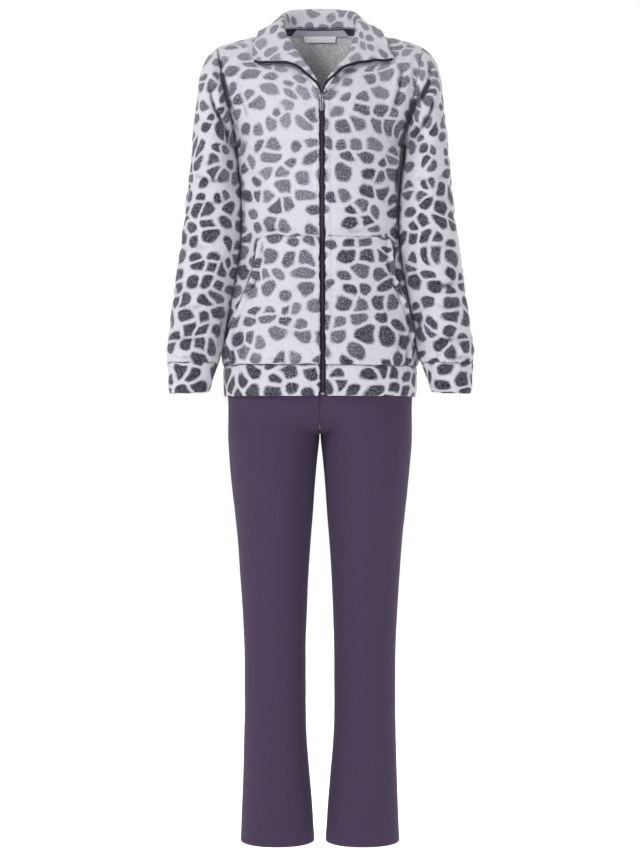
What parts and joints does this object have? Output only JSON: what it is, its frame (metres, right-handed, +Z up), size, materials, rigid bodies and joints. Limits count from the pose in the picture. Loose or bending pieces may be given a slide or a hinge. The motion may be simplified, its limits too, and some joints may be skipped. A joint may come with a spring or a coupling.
{
  "type": "fleece lounge set, a zipped jacket over trousers",
  "caption": "Lounge set in its worn, filled-out form with no wearer: a spotted fleece jacket with a turned-down collar over plain straight trousers.",
  "frame": {"origin": "midway between the two shoulder points, where the wearer's shoulders carry the jacket", "axes": "+Z up, the garment's front faces -Y, +X to the wearer's left"},
  "size_m": [0.553, 0.2511, 1.5391],
  "materials": {
    "printed_fleece": "soft pile, off-white with grey-purple spots",
    "plum_jersey": "matt fine knit",
    "zip_tape": "woven tape",
    "zip_coil": "moulded coil",
    "zip_metal": "satin",
    "neck_tape": "flat tape",
    "piping": "matt",
    "label": "satin weave, blank"
  },
  "bodies": {
    "garment": {"jacket_front_left": "printed_fleece", "jacket_front_right": "printed_fleece", "jacket_back": "printed_fleece", "hem_band": "printed_fleece", "sleeve_left": "printed_fleece", "sleeve_right": "printed_fleece", "cuff_left": "printed_fleece", "cuff_right": "printed_fleece", "collar_outer": "printed_fleece", "collar_inner": "printed_fleece", "pocket_left": "printed_fleece", "pocket_right": "printed_fleece", "trouser_front_left": "plum_jersey", "trouser_front_right": "plum_jersey", "trouser_back_left": "plum_jersey", "trouser_back_right": "plum_jersey", "trouser_waistband": "plum_jersey", "zip_tape_left": "zip_tape", "zip_tape_right": "zip_tape", "zip_edge_left": "zip_tape", "zip_edge_right": "zip_tape", "zip_chain": "zip_coil", "zip_slider": "zip_metal", "zip_stop": "zip_metal", "neck_tape": "neck_tape", "neck_piping": "piping", "neck_label": "label"},
    "pull": {"zip_pull": "zip_metal"}
  },
  "joints": [
    {"name": "pull_tab", "type": "hinge", "parent": "garment", "child": "pull", "pos_m": [0.003, -0.1083, -0.10263], "axis": [-1, 0, 0], "range_deg": [0, 140]}
  ]
}
